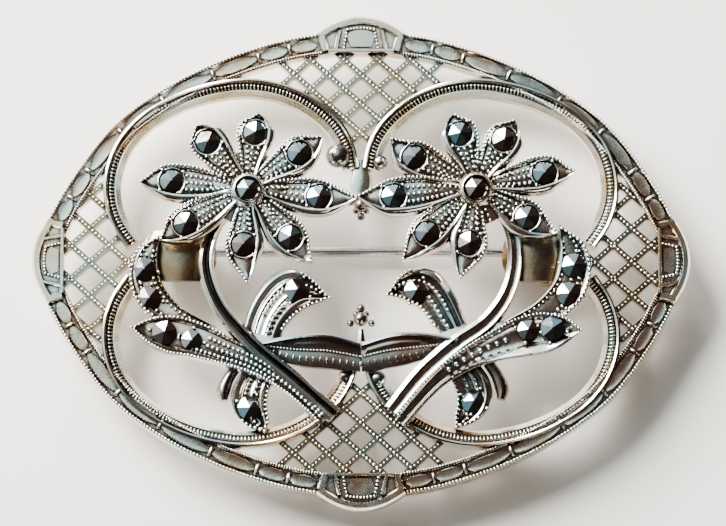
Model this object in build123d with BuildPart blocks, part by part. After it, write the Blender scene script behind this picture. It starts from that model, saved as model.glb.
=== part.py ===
from build123d import *
import os
from math import hypot

# A silver marcasite brooch, in millimetres. It lies face up: X runs along its length, Y up the
# face, and Z out of the face, from the resting line of the pin fittings at Z = 0.
HALF_WIDTH = 25.0
HALF_HEIGHT = 19.1

# Levels of the layers, from the back to the face
FRAME_Z = 3.0
BORDER_TOP = 4.4
SCROLL_LEDGE = 4.1
SCROLL_TOP = 4.6
KEYSTONE_TOP = 4.9
LATTICE_Z = 3.3
LATTICE_TOP = 4.1
FINIAL_TOP = 4.2
SPRAY_Z = SCROLL_TOP
SPRAY_TOP = 5.6
UNDERBUD_Z = 3.8
FLOWER_TOP = 6.6
BEZEL_TOP = 7.0

# Frame
BORDER_WIDTH = 1.75
SCROLL_WIDTH = 1.3
SCROLL_RIM = 0.45
LATTICE_WIRE = 0.45
LATTICE_PITCH = 2.55
LATTICE_ANGLE = 42
LATTICE_ROW_Y = 14.65
SIDE_LATTICE_PITCH = 2.6
SIDE_LATTICE_X = 20.6
KEYSTONE_OUTER = 3.4
KEYSTONE_INNER = 2.5
KEYSTONE_DEPTH = 2.85
KEYSTONE_RISE = 1.4

# One quarter of the border's centre line, and one quarter's scroll, from its outer end inwards
BORDER_LINE = [
    (1.5, 17.2), (5.5, 16.55), (7.8, 15.9), (11.3, 14.55), (15.1, 12.5),
    (18.3, 10.0), (20.7, 6.95), (22.0, 4.9), (23.7, 1.5),
]
SCROLL_LINE = [
    (17.3, 1.4), (18.3, 2.9), (18.9, 4.7), (18.9, 6.7), (18.2, 8.8), (16.9, 10.5), (14.4, 12.2),
    (11.3, 13.3), (8.4, 13.6), (5.8, 13.1), (3.4, 11.8), (1.8, 10.2), (1.0, 8.6), (0.75, 7.2),
]

# Flowers: each petal is (direction in degrees, tip radius, stone radius)
FLOWER_LEFT = (-8.55, 5.55)
PETALS_LEFT = [
    (175, 8.2, 5.8), (129, 6.3, 4.9), (84, 5.9, 4.4), (36, 6.7, 4.75),
    (-6, 8.1, 5.4), (-50, 7.6, 4.9), (-94, 7.0, 4.35), (-150, 7.4, 5.5),
]
FLOWER_RIGHT = (8.7, 5.6)
PETALS_RIGHT = [
    (151, 7.4, 5.3), (105, 5.9, 4.45), (60, 6.0, 4.3), (12, 7.6, 5.3),
    (-32, 7.0, 4.5), (-97, 7.0, 4.1), (-137, 7.7, 5.1), (-174, 8.6, 6.3),
]
PETAL_HALF_WIDTH = 1.35
FLOWER_HEART = 2.8
BEZEL_RADIUS = 1.25
STONE_RADIUS = 0.9
SMALL_STONE = 0.75
STONE_RISE = 0.45
STONE_TAPER = 48

# Sprays, at the level of the stems
STEM_LEFT = [(-9.0, 5.0), (-11.0, 2.9), (-11.8, -0.2), (-11.0, -3.0), (-8.4, -6.1), (-4.7, -9.1), (-1.8, -11.5)]
STEM_RIGHT = [(9.4, 5.0), (11.1, 2.9), (11.5, 0.0), (10.9, -2.6), (9.5, -4.5), (7.1, -6.2), (4.6, -8.3), (2.4, -11.0)]
STEM_NARROW = 1.2
STEM_WIDE = 1.7
UPPER_LEAF_LEFT = [
    [(-15.3, 1.9), (-17.0, 0.9), (-17.6, -0.9), (-17.2, -3.1), (-15.9, -4.3)],
    [(-15.9, -4.3), (-10.4, -4.9)],
    [(-10.4, -4.9), (-13.6, -3.1), (-15.0, -1.3), (-15.3, 1.9)],
]
UPPER_LEAF_RIGHT = [
    [(15.0, 2.7), (17.1, 1.2), (17.5, -1.0), (16.8, -2.9), (15.4, -4.2)],
    [(15.4, -4.2), (9.9, -4.6)],
    [(9.9, -4.6), (13.1, -3.0), (14.6, -1.2), (15.0, 2.7)],
]
LOWER_LEAF_LEFT = [
    [(-17.4, -5.0), (-15.6, -3.9), (-13.3, -3.9), (-11.0, -5.1), (-8.4, -6.5)],
    [(-8.4, -6.5), (-4.9, -9.3), (-2.2, -11.7)],
    [(-2.2, -11.7), (-2.7, -12.5)],
    [(-2.7, -12.5), (-6.4, -9.3), (-9.4, -7.9), (-13.5, -7.2), (-15.8, -6.5), (-17.4, -5.0)],
]
LOWER_LEAF_RIGHT = [
    [(16.9, -5.0), (14.6, -3.6), (12.8, -3.8), (10.4, -5.0), (8.0, -6.1)],
    [(8.0, -6.1), (4.8, -8.4), (2.6, -11.2)],
    [(2.6, -11.2), (3.3, -12.3)],
    [(3.3, -12.3), (6.4, -9.2), (9.0, -7.7), (12.3, -7.0), (14.9, -6.4), (16.9, -5.0)],
]
INNER_BUD_LEFT = [
    [(-9.1, -5.0), (-8.0, -1.9), (-5.8, -0.35), (-3.9, -1.1), (-2.4, -2.7)],
    [(-2.4, -2.7), (-4.7, -3.6), (-6.2, -5.9)],
    [(-6.2, -5.9), (-9.1, -5.0)],
]
INNER_BUD_RIGHT = [
    [(8.3, -4.7), (6.8, -1.6), (4.6, -0.35), (3.0, -1.0), (2.0, -2.6)],
    [(2.0, -2.6), (4.3, -3.6), (6.0, -5.7)],
    [(6.0, -5.7), (8.3, -4.7)],
]
LOWER_BUD_LEFT = [
    [(-8.6, -7.9), (-9.8, -9.9), (-9.5, -11.8), (-7.4, -13.0)],
    [(-7.4, -13.0), (-7.2, -10.9), (-5.6, -8.7)],
    [(-5.6, -8.7), (-8.6, -7.9)],
]
LOWER_BUD_RIGHT = [
    [(8.8, -7.6), (9.9, -9.9), (9.4, -11.5), (7.2, -12.7)],
    [(7.2, -12.7), (7.2, -10.8), (6.7, -8.7)],
    [(6.7, -8.7), (8.8, -7.6)],
]
CURL_LEFT = [(-9.3, -7.6), (-10.3, -8.8), (-10.6, -10.2)]
CURL_RIGHT = [(9.4, -7.4), (10.5, -8.7), (10.7, -10.2)]
CURL_WIDTH = 0.95
TIE = [
    [(-8.0, -6.4), (-5.0, -5.8), (-2.4, -5.7), (0.0, -6.4)],
    [(0.0, -6.4), (2.4, -5.5), (5.0, -5.5), (7.6, -6.0)],
    [(7.6, -6.0), (3.7, -7.8)],
    [(3.7, -7.8), (0.0, -8.5), (-4.8, -8.2)],
    [(-4.8, -8.2), (-8.0, -6.4)],
]

# Stones set in the leaves and buds: (x, y, radius)
LEAF_STONES_LEFT = [
    (-16.5, -0.6, STONE_RADIUS), (-16.1, -2.9, STONE_RADIUS),
    (-14.8, -5.5, STONE_RADIUS), (-12.8, -6.0, SMALL_STONE),
]
LEAF_STONES_RIGHT = [
    (16.1, -0.5, STONE_RADIUS), (15.7, -2.7, STONE_RADIUS),
    (14.4, -5.2, STONE_RADIUS), (12.6, -5.4, SMALL_STONE),
]
INNER_BUD_STONES = [("left", -4.9, -2.2), ("right", 4.3, -2.3)]
LOWER_BUD_STONES = [("left", -8.5, -11.1), ("right", 8.5, -10.7)]

# Pin, hinge and catch behind the frame
PIN_Y = 1.3
PIN_Z = 1.5
PIN_RADIUS = 0.4
POINT_RADIUS = 0.3
TIP_RADIUS = 0.06
HINGE_X = -13.8
CATCH_X = 12.75
FITTING_RADIUS = PIN_Z
PLATE_THICKNESS = 0.6
PLATE_Z = SPRAY_Z - PLATE_THICKNESS
BRACKET_WEB = 0.4
CHEEK_THICKNESS = 0.4
CHEEK_GAP = 1.4
RIVET_RADIUS = 0.35
KNUCKLE_RADIUS = 0.9
KNUCKLE_BORE = RIVET_RADIUS + 0.05
KNUCKLE_WIDTH = CHEEK_GAP - 0.1
NECK_END = -12.0
NECK_SIZE = 1.1
SHAFT_END = 10.9
POINT_START = 14.8
PIN_END = 16.0
HOUSING_LENGTH = 1.9
HOUSING_BORE = 1.05
ROTOR_RADIUS = HOUSING_BORE - 0.07
ROTOR_BORE = 0.52
CATCH_SLOT = 1.0
FLANGE_RADIUS = 1.35
FLANGE_THICKNESS = 0.6
FLANGE_GAP = 0.1
LEVER_REACH = 2.6
LEVER_WIDTH = 0.7


def side_points(points, widths, side):
    """The points moved half their width to one side of the line through them."""
    moved = []
    for i, (x, y) in enumerate(points):
        before = points[max(i - 1, 0)]
        after = points[min(i + 1, len(points) - 1)]
        dx = after[0] - before[0]
        dy = after[1] - before[1]
        step = side * widths[i] / 2 / hypot(dx, dy)
        moved.append((x - dy * step, y + dx * step))
    return moved


def strip_between(left, right):
    """A flat strip between two curved edges that run the same way."""
    with BuildSketch() as strip:
        with BuildLine():
            Spline(*left)
            Line(left[-1], right[-1])
            Spline(*reversed(right))
            Line(right[0], left[0])
        make_face()
    return strip.sketch


def ribbon(points, widths):
    """A flat strip that follows the points, widths[i] wide at each."""
    return strip_between(side_points(points, widths, 1), side_points(points, widths, -1))


def outline(sides):
    """A face bounded by sides that share their end points, curved where they have over two."""
    with BuildSketch() as face:
        with BuildLine():
            for side in sides:
                if len(side) == 2:
                    Line(*side)
                else:
                    Spline(*side)
        make_face()
    return face.sketch


def quarter(points, sx, sy):
    """The points of the first quarter, mirrored into another."""
    return [(x * sx, y * sy) for x, y in points]


def plate(sketches, cut, low, high):
    """The sketches joined, less the cut ones, extruded from low to high."""
    with BuildPart() as body:
        with BuildSketch(Plane.XY.offset(low)):
            for sketch in sketches:
                add(sketch)
            for sketch in cut:
                add(sketch, mode=Mode.SUBTRACT)
        extrude(amount=high - low)
    return body.part


def save(part, name):
    """Labels a finished piece and writes it to its own file."""
    part.label = name
    export_step(part, f"parts/{name}.step")


os.makedirs("parts", exist_ok=True)

CORNERS = {"upper_left": (-1, 1), "upper_right": (1, 1), "lower_left": (-1, -1), "lower_right": (1, -1)}


# Keystones: fan-shaped plaques at the four points of the frame
def keystone_face(inner, outer, depth, rise, reach):
    """A fan that points up the Y axis, with its arched edge at reach."""
    base_y = reach - depth
    shoulder_y = reach - rise
    with BuildSketch() as face:
        with BuildLine():
            Line((-inner, base_y), (inner, base_y))
            Line((inner, base_y), (outer, shoulder_y))
            ThreePointArc((outer, shoulder_y), (0, reach), (-outer, shoulder_y))
            Line((-outer, shoulder_y), (-inner, base_y))
        make_face()
    return face.sketch


upright = keystone_face(KEYSTONE_INNER, KEYSTONE_OUTER, KEYSTONE_DEPTH, KEYSTONE_RISE, HALF_HEIGHT)
sideways = keystone_face(KEYSTONE_INNER, KEYSTONE_OUTER, KEYSTONE_DEPTH - 0.4, KEYSTONE_RISE, HALF_WIDTH)
keystones = {
    "top": upright,
    "bottom": upright.rotate(Axis.Z, 180),
    "left": sideways.rotate(Axis.Z, 90),
    "right": sideways.rotate(Axis.Z, -90),
}
for place, face in keystones.items():
    with BuildPart() as keystone:
        with BuildSketch(Plane.XY.offset(FRAME_Z)):
            add(face)
        extrude(amount=KEYSTONE_TOP - FRAME_Z)
        chamfer(keystone.faces().sort_by(Axis.Z)[-1].edges(), 0.25)
    save(keystone.part, f"keystone_{place}")

# Scrolls: four C-shaped hoops, a raised rim outside and a sloping reeded ledge inside
scroll_faces = {}
hoop_areas = {}
rim_faces = {}
for corner, (sx, sy) in CORNERS.items():
    line = quarter(SCROLL_LINE, sx, sy)
    widths = [SCROLL_WIDTH] * len(line)
    outer_side = -sx * sy
    outer_edge = side_points(line, widths, outer_side)
    inner_edge = side_points(line, widths, -outer_side)
    rim_edge = side_points(line, [SCROLL_WIDTH - 2 * SCROLL_RIM] * len(line), outer_side)
    scroll_faces[corner] = strip_between(outer_edge, inner_edge)
    rim_faces[corner] = strip_between(outer_edge, rim_edge)
    hoop_areas[corner] = outline([outer_edge, [outer_edge[-1], outer_edge[0]]])

for corner, (sx, sy) in CORNERS.items():
    with BuildPart() as scroll:
        with BuildSketch(Plane.XY.offset(FRAME_Z)):
            add(scroll_faces[corner])
            with Locations((sx * HALF_WIDTH / 2, 0)):
                Rectangle(HALF_WIDTH, 2 * HALF_HEIGHT, mode=Mode.INTERSECT)
        extrude(amount=SCROLL_LEDGE - FRAME_Z)
        with BuildSketch(Plane.XY.offset(SCROLL_LEDGE)):
            add(rim_faces[corner])
            with Locations((sx * HALF_WIDTH / 2, 0)):
                Rectangle(HALF_WIDTH, 2 * HALF_HEIGHT, mode=Mode.INTERSECT)
        extrude(amount=SCROLL_TOP - SCROLL_LEDGE)
    save(scroll.part, f"scroll_{corner}")

# Border: a band in each quarter, butted against the keystones
border_faces = {}
for corner, (sx, sy) in CORNERS.items():
    line = quarter(BORDER_LINE, sx, sy)
    border_faces[corner] = ribbon(line, [BORDER_WIDTH] * len(line))
    band = plate(
        [border_faces[corner]],
        [*keystones.values(), scroll_faces[corner]],
        FRAME_Z,
        BORDER_TOP,
    )
    save(band, f"border_{corner}")

# Lattices: crossed wires in the four gaps between the border and the scrolls
with BuildSketch() as inside_border:
    with BuildLine():
        for sx, sy in [(1, 1), (1, -1), (-1, -1), (-1, 1)]:
            line = quarter(BORDER_LINE, sx, sy)
            Spline(*line if sx * sy > 0 else reversed(line))
        Line((-BORDER_LINE[0][0], BORDER_LINE[0][1]), BORDER_LINE[0])
        Line((-BORDER_LINE[0][0], -BORDER_LINE[0][1]), (BORDER_LINE[0][0], -BORDER_LINE[0][1]))
        Line((BORDER_LINE[-1][0], BORDER_LINE[-1][1]), (BORDER_LINE[-1][0], -BORDER_LINE[-1][1]))
        Line((-BORDER_LINE[-1][0], BORDER_LINE[-1][1]), (-BORDER_LINE[-1][0], -BORDER_LINE[-1][1]))
    make_face()

frame_faces = [*keystones.values(), *border_faces.values(), *hoop_areas.values()]


def lattice(centre, size, rows, first, step):
    """Crossed wires through points one step apart, inside a window of the frame."""
    with BuildPart() as wires:
        with BuildSketch(Plane.XY.offset(LATTICE_Z)):
            for i in range(-rows, rows + 1):
                with Locations((first[0] + i * step[0], first[1] + i * step[1])):
                    Rectangle(2 * HALF_WIDTH, LATTICE_WIRE, rotation=LATTICE_ANGLE)
                    Rectangle(2 * HALF_WIDTH, LATTICE_WIRE, rotation=-LATTICE_ANGLE)
            with Locations(centre):
                Rectangle(*size, mode=Mode.INTERSECT)
            add(inside_border.sketch, mode=Mode.INTERSECT)
            for face in frame_faces:
                add(face, mode=Mode.SUBTRACT)
        extrude(amount=LATTICE_TOP - LATTICE_Z)
    return wires.part.solids().sort_by(SortBy.VOLUME)[-1]


for place, side in [("top", 1), ("bottom", -1)]:
    window = ((0, side * 13), (17.6, 11.4))
    grid = lattice(*window, 5, (0, side * LATTICE_ROW_Y), (LATTICE_PITCH, 0))
    save(grid, f"lattice_{place}")
for place, side in [("left", -1), ("right", 1)]:
    window = ((side * 19.8, 0), (6.6, 12.4))
    grid = lattice(*window, 4, (side * SIDE_LATTICE_X, 0), (0, SIDE_LATTICE_PITCH))
    save(grid, f"lattice_{place}")

# Finials: trefoils on short stalks, where the scrolls' inner ends meet
for place, side in [("top", 1), ("bottom", -1)]:
    with BuildPart() as finial:
        with BuildSketch(Plane.XY.offset(FRAME_Z)):
            with Locations((0, side * 5.8)):
                Rectangle(1.2, 3.2)
            with Locations((0, side * 3.7), (-0.75, side * 4.6), (0.75, side * 4.6)):
                Circle(0.55)
            with Locations((0, side * 4.3)):
                Circle(0.7)
            for corner in CORNERS:
                add(scroll_faces[corner], mode=Mode.SUBTRACT)
        extrude(amount=FINIAL_TOP - FRAME_Z)
    save(finial.part, f"finial_{place}")

# Stems, and what is soldered to them at the same level
stem_faces = {}
for place, line in [("left", STEM_LEFT), ("right", STEM_RIGHT)]:
    last = len(line) - 1
    widths = [STEM_NARROW + (STEM_WIDE - STEM_NARROW) * i / last for i in range(last + 1)]
    stem_faces[place] = ribbon(line, widths)
    save(plate([stem_faces[place]], [], SPRAY_Z, SPRAY_TOP), f"stem_{place}")

lower_leaves = {"left": outline(LOWER_LEAF_LEFT), "right": outline(LOWER_LEAF_RIGHT)}
upper_leaves = {"left": outline(UPPER_LEAF_LEFT), "right": outline(UPPER_LEAF_RIGHT)}
inner_buds = {"left": outline(INNER_BUD_LEFT), "right": outline(INNER_BUD_RIGHT)}
lower_buds = {"left": outline(LOWER_BUD_LEFT), "right": outline(LOWER_BUD_RIGHT)}
curls = {
    "left": ribbon(CURL_LEFT, [CURL_WIDTH] * len(CURL_LEFT)),
    "right": ribbon(CURL_RIGHT, [CURL_WIDTH] * len(CURL_RIGHT)),
}
for place in ("left", "right"):
    stem = stem_faces[place]
    leaf = lower_leaves[place]
    corner = scroll_faces[f"lower_{place}"]
    save(plate([leaf], [stem], SPRAY_Z, SPRAY_TOP), f"lower_leaf_{place}")
    save(plate([upper_leaves[place]], [stem, leaf], SPRAY_Z, SPRAY_TOP), f"upper_leaf_{place}")
    save(plate([inner_buds[place]], [stem, outline(TIE)], SPRAY_Z, SPRAY_TOP), f"inner_bud_{place}")
    save(plate([lower_buds[place]], [corner], UNDERBUD_Z, SPRAY_Z), f"lower_bud_{place}")
    save(plate([curls[place]], [corner, lower_buds[place]], UNDERBUD_Z, SPRAY_Z), f"curl_{place}")
save(plate([outline(TIE)], list(stem_faces.values()), SPRAY_Z, SPRAY_TOP), "tie")


# Flowers: eight pointed petals round a heart, each flower in one piece
def petal(tip, middle):
    """A pointed oval along the X axis, from the heart to the tip."""
    with BuildSketch() as face:
        with BuildLine():
            Spline((0.6, 0.5), (middle, PETAL_HALF_WIDTH), (tip, 0))
            Spline((tip, 0), (middle, -PETAL_HALF_WIDTH), (0.6, -0.5))
            Line((0.6, -0.5), (0.6, 0.5))
        make_face()
    return face.sketch


def stones(places, low):
    """Six-sided marcasites standing on the level low, in one compound of separate stones."""
    with BuildPart() as cut:
        for x, y, radius in places:
            with BuildSketch(Plane.XY.offset(low)):
                with Locations((x, y)):
                    RegularPolygon(radius, 6)
            extrude(amount=STONE_RISE, taper=STONE_TAPER)
    return cut.part


flowers = {"left": (FLOWER_LEFT, PETALS_LEFT), "right": (FLOWER_RIGHT, PETALS_RIGHT)}
for place, (centre, petals) in flowers.items():
    heart = Location((centre[0], centre[1], SPRAY_TOP))
    with BuildPart() as flower:
        with BuildSketch(Plane(heart)):
            Circle(FLOWER_HEART)
            for angle, tip, middle in petals:
                add(petal(tip, middle), rotation=angle)
        extrude(amount=FLOWER_TOP - SPRAY_TOP)
    save(flower.part, f"flower_{place}")

    with BuildPart() as bezel:
        with BuildSketch(Plane.XY.offset(FLOWER_TOP)):
            with Locations(centre):
                Circle(BEZEL_RADIUS)
                Circle(STONE_RADIUS + 0.05, mode=Mode.SUBTRACT)
        extrude(amount=BEZEL_TOP - FLOWER_TOP)
    save(bezel.part, f"bezel_{place}")

    settings = []
    for angle, tip, middle in petals:
        offset = Vector(middle, 0).rotate(Axis.Z, angle)
        settings.append((centre[0] + offset.X, centre[1] + offset.Y, STONE_RADIUS))
    save(stones(settings, FLOWER_TOP), f"marcasites_flower_{place}")
    save(stones([(*centre, STONE_RADIUS)], FLOWER_TOP), f"marcasite_centre_{place}")

save(stones(LEAF_STONES_LEFT, SPRAY_TOP), "marcasites_leaves_left")
save(stones(LEAF_STONES_RIGHT, SPRAY_TOP), "marcasites_leaves_right")
for place, x, y in INNER_BUD_STONES:
    save(stones([(x, y, STONE_RADIUS)], SPRAY_TOP), f"marcasite_inner_bud_{place}")
for place, x, y in LOWER_BUD_STONES:
    save(stones([(x, y, STONE_RADIUS)], SPRAY_Z), f"marcasite_lower_bud_{place}")

# Hinge: a plate soldered behind the left spray, a folded bracket, and a rivet through the pin
with BuildPart() as hinge_plate:
    with BuildSketch(Plane.XY.offset(PLATE_Z)):
        with Locations((HINGE_X, 0.4)):
            RectangleRounded(5.0, 3.9, 0.5)
    extrude(amount=PLATE_THICKNESS)
save(hinge_plate.part, "hinge_plate")

bracket_width = CHEEK_GAP + 2 * CHEEK_THICKNESS
with BuildPart() as hinge_bracket:
    with BuildSketch(Plane.XZ.offset(-PIN_Y)):
        with Locations((HINGE_X, PIN_Z)):
            Circle(FITTING_RADIUS)
        with Locations((HINGE_X, (PIN_Z + PLATE_Z) / 2)):
            Rectangle(2 * FITTING_RADIUS, PLATE_Z - PIN_Z)
    extrude(amount=bracket_width / 2, both=True)
    with BuildSketch(Plane.XZ.offset(-PIN_Y)):
        with Locations((HINGE_X, (PLATE_Z - BRACKET_WEB) / 2)):
            Rectangle(4 * FITTING_RADIUS, PLATE_Z - BRACKET_WEB)
    extrude(amount=CHEEK_GAP / 2, both=True, mode=Mode.SUBTRACT)
    with BuildSketch(Plane.XZ.offset(-PIN_Y)):
        with Locations((HINGE_X, PIN_Z)):
            Circle(RIVET_RADIUS)
    extrude(amount=bracket_width, both=True, mode=Mode.SUBTRACT)
save(hinge_bracket.part, "hinge_bracket")

with BuildPart() as hinge_rivet:
    with BuildSketch(Plane.XZ.offset(-PIN_Y)):
        with Locations((HINGE_X, PIN_Z)):
            Circle(RIVET_RADIUS)
    extrude(amount=bracket_width / 2 + 0.15, both=True)
    chamfer(hinge_rivet.edges(), 0.08)
save(hinge_rivet.part, "hinge_rivet")

# Pin stem: a flat knuckle, a neck, the working shaft and the point
with BuildPart() as pin_stem:
    with BuildSketch(Plane.XZ.offset(-PIN_Y)):
        with Locations((HINGE_X, PIN_Z)):
            Circle(KNUCKLE_RADIUS)
    extrude(amount=KNUCKLE_WIDTH / 2, both=True)
    with BuildSketch(Plane.YZ.offset(HINGE_X)):
        with Locations((PIN_Y, PIN_Z)):
            RectangleRounded(NECK_SIZE, NECK_SIZE, 0.2)
    extrude(amount=NECK_END - HINGE_X)
    with BuildSketch(Plane.YZ.offset(NECK_END)):
        with Locations((PIN_Y, PIN_Z)):
            Circle(PIN_RADIUS)
    extrude(amount=SHAFT_END - NECK_END)
    for start, end, thick, thin in [
        (SHAFT_END, POINT_START, PIN_RADIUS, POINT_RADIUS),
        (POINT_START, PIN_END, POINT_RADIUS, TIP_RADIUS),
    ]:
        with BuildSketch(Plane.YZ.offset(start)):
            with Locations((PIN_Y, PIN_Z)):
                Circle(thick)
        with BuildSketch(Plane.YZ.offset(end)):
            with Locations((PIN_Y, PIN_Z)):
                Circle(thin)
        loft()
    with BuildSketch(Plane.XZ.offset(-PIN_Y)):
        with Locations((HINGE_X, PIN_Z)):
            Circle(KNUCKLE_BORE)
    extrude(amount=KNUCKLE_WIDTH, both=True, mode=Mode.SUBTRACT)
save(pin_stem.part, "pin_stem")

# Catch: a plate behind the right spray, a slotted housing, and a rotor turned by a small lever
with BuildPart() as catch_plate:
    with BuildSketch(Plane.XY.offset(PLATE_Z)):
        with Locations((13.3, 0.4)):
            RectangleRounded(4.6, 3.9, 0.5)
    extrude(amount=PLATE_THICKNESS)
save(catch_plate.part, "catch_plate")


def slotted_ring(outer, bore):
    """A ring round the pin, open towards the back of the brooch."""
    with BuildSketch() as ring:
        with Locations((PIN_Y, PIN_Z)):
            Circle(outer)
            Circle(bore, mode=Mode.SUBTRACT)
        with Locations((PIN_Y, PIN_Z - outer)):
            Rectangle(CATCH_SLOT, 2 * outer, mode=Mode.SUBTRACT)
    return ring.sketch


housing_start = CATCH_X - HOUSING_LENGTH / 2
housing_end = CATCH_X + HOUSING_LENGTH / 2
with BuildPart() as catch_housing:
    with BuildSketch(Plane.YZ.offset(housing_start)):
        add(slotted_ring(FITTING_RADIUS, HOUSING_BORE))
        with Locations((PIN_Y, (PIN_Z + FITTING_RADIUS + PLATE_Z) / 2 - 0.1)):
            Rectangle(1.6, PLATE_Z - PIN_Z - FITTING_RADIUS + 0.2)
    extrude(amount=HOUSING_LENGTH)
save(catch_housing.part, "catch_housing")

with BuildPart() as catch_rotor:
    with BuildSketch(Plane.YZ.offset(housing_start - FLANGE_GAP)):
        add(slotted_ring(ROTOR_RADIUS, ROTOR_BORE))
    extrude(amount=HOUSING_LENGTH + 2 * FLANGE_GAP)
    for start in (housing_start - FLANGE_GAP - FLANGE_THICKNESS, housing_end + FLANGE_GAP):
        with BuildSketch(Plane.YZ.offset(start)):
            add(slotted_ring(FLANGE_RADIUS, ROTOR_BORE))
        extrude(amount=FLANGE_THICKNESS)
    with BuildSketch(Plane.YZ.offset(housing_end + FLANGE_GAP)):
        with Locations((PIN_Y - (FLANGE_RADIUS - 0.2 + LEVER_REACH) / 2, PIN_Z)):
            SlotOverall(LEVER_REACH - FLANGE_RADIUS + 0.4, LEVER_WIDTH)
    extrude(amount=FLANGE_THICKNESS)
save(catch_rotor.part, "catch_rotor")
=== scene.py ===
from math import cos, pi, radians, sin

import bmesh
import bpy
import numpy as np
from mathutils import Matrix, Vector
from mathutils.bvhtree import BVHTree


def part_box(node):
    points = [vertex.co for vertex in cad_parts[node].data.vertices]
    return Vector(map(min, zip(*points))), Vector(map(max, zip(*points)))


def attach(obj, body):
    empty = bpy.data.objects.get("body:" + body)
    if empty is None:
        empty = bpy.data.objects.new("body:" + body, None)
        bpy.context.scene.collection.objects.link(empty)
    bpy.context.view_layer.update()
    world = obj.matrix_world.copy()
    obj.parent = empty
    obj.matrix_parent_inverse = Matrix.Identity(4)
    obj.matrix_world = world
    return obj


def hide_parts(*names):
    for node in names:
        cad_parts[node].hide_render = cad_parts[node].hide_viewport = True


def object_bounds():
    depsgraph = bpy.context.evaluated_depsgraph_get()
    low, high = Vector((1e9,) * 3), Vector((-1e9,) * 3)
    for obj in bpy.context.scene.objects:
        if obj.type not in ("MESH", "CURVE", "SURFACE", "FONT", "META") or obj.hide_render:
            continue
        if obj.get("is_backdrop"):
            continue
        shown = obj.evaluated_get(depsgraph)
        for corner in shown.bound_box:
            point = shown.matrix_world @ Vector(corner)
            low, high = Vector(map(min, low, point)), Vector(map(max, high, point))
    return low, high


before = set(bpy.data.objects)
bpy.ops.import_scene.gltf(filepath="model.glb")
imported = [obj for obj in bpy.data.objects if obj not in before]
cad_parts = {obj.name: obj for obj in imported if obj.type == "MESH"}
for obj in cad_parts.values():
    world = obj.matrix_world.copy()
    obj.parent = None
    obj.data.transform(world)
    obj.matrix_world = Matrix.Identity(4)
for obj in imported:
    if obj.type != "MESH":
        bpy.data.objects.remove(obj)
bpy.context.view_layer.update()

# A silver marcasite brooch. Plans below are in millimetres on the face of the brooch, X to the
# right and Y up the face; heights come from the frame's own nodes.
MM = 0.001
# The usual radius and pitch of a milgrain grain, and the radii of the two sizes of stone
GRAIN = 0.15
GRAIN_PITCH = 0.36
STONE = 0.92
SMALL_STONE = 0.78
# How far outside a stone's edge the middles of its four grains are
SETTING_GAP = 0.2
# Pieces that overlap in plan end this much apart underneath, so no two share a plane
FOOT_GAP = 0.03
# Each corner's side along X and Y, and how far the top's plan is turned for each point
CORNERS = {
    "upper_left": (-1, 1), "upper_right": (1, 1), "lower_left": (-1, -1), "lower_right": (1, -1),
}
QUARTER_TURNS = {"top": 0, "left": 90, "bottom": 180, "right": -90}


def top_of(node):
    """The height of a node's upper face, in millimetres."""
    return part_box(node)[1][2] / MM


def foot_of(node):
    """The height of a node's lower face, in millimetres."""
    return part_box(node)[0][2] / MM


# ---------------------------------------------------------------- lines and rows

def smooth_line(points, count):
    """count stations evenly along a smooth curve through the points."""
    p = np.array(points, float)
    steps = np.linalg.norm(np.diff(p[:, :2], axis=0), axis=1)
    along = np.r_[0, np.cumsum(steps)]
    slope = np.gradient(p, along, axis=0)
    s = np.linspace(0, along[-1], count)
    k = np.clip(np.searchsorted(along, s, side="right") - 1, 0, len(steps) - 1)
    h = steps[k][:, None]
    t = (s - along[k])[:, None] / h
    start = (2 * t ** 3 - 3 * t ** 2 + 1) * p[k] + (t ** 3 - 2 * t ** 2 + t) * h * slope[k]
    end = (3 * t ** 2 - 2 * t ** 3) * p[k + 1] + (t ** 3 - t ** 2) * h * slope[k + 1]
    return start + end


def across(line):
    """Unit vectors to the left of the line at each of its stations."""
    along = np.gradient(line[:, :2], axis=0)
    along /= np.linalg.norm(along, axis=1)[:, None]
    return np.c_[-along[:, 1], along[:, 0]]


def strip_of(points, count):
    """The two edges of a strip that follows points (x, y, half width)."""
    line = smooth_line(points, count)
    reach = across(line) * np.maximum(line[:, 2], 0.02)[:, None]
    return line[:, :2] - reach, line[:, :2] + reach


def strip_between(first, second, count):
    """The two edges of a strip, each along its own points."""
    return smooth_line(first, count), smooth_line(second, count)


def lane(strip, place, inset=0.0):
    """The line at a place across a strip, -1 to 1 from its first edge, less an inset in mm."""
    first, second = strip
    half = np.linalg.norm(second - first, axis=1) / 2
    share = place * np.maximum(half - inset, 0) / np.maximum(half, 0.001)
    return (first + second) / 2 + (second - first) / 2 * share[:, None]


def placed(points, angle=0, at=(0, 0)):
    """Plan points turned by an angle in degrees and then moved."""
    c, s = cos(radians(angle)), sin(radians(angle))
    return [(at[0] + c * p[0] - s * p[1], at[1] + s * p[0] + c * p[1], *p[2:]) for p in points]


# ---------------------------------------------------------------- making and joining meshes

def deselect():
    bpy.ops.object.select_all(action="DESELECT")


def active(obj):
    """Leaves this object alone selected, and returns it."""
    deselect()
    obj.select_set(True)
    bpy.context.view_layer.objects.active = obj
    return obj


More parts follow.
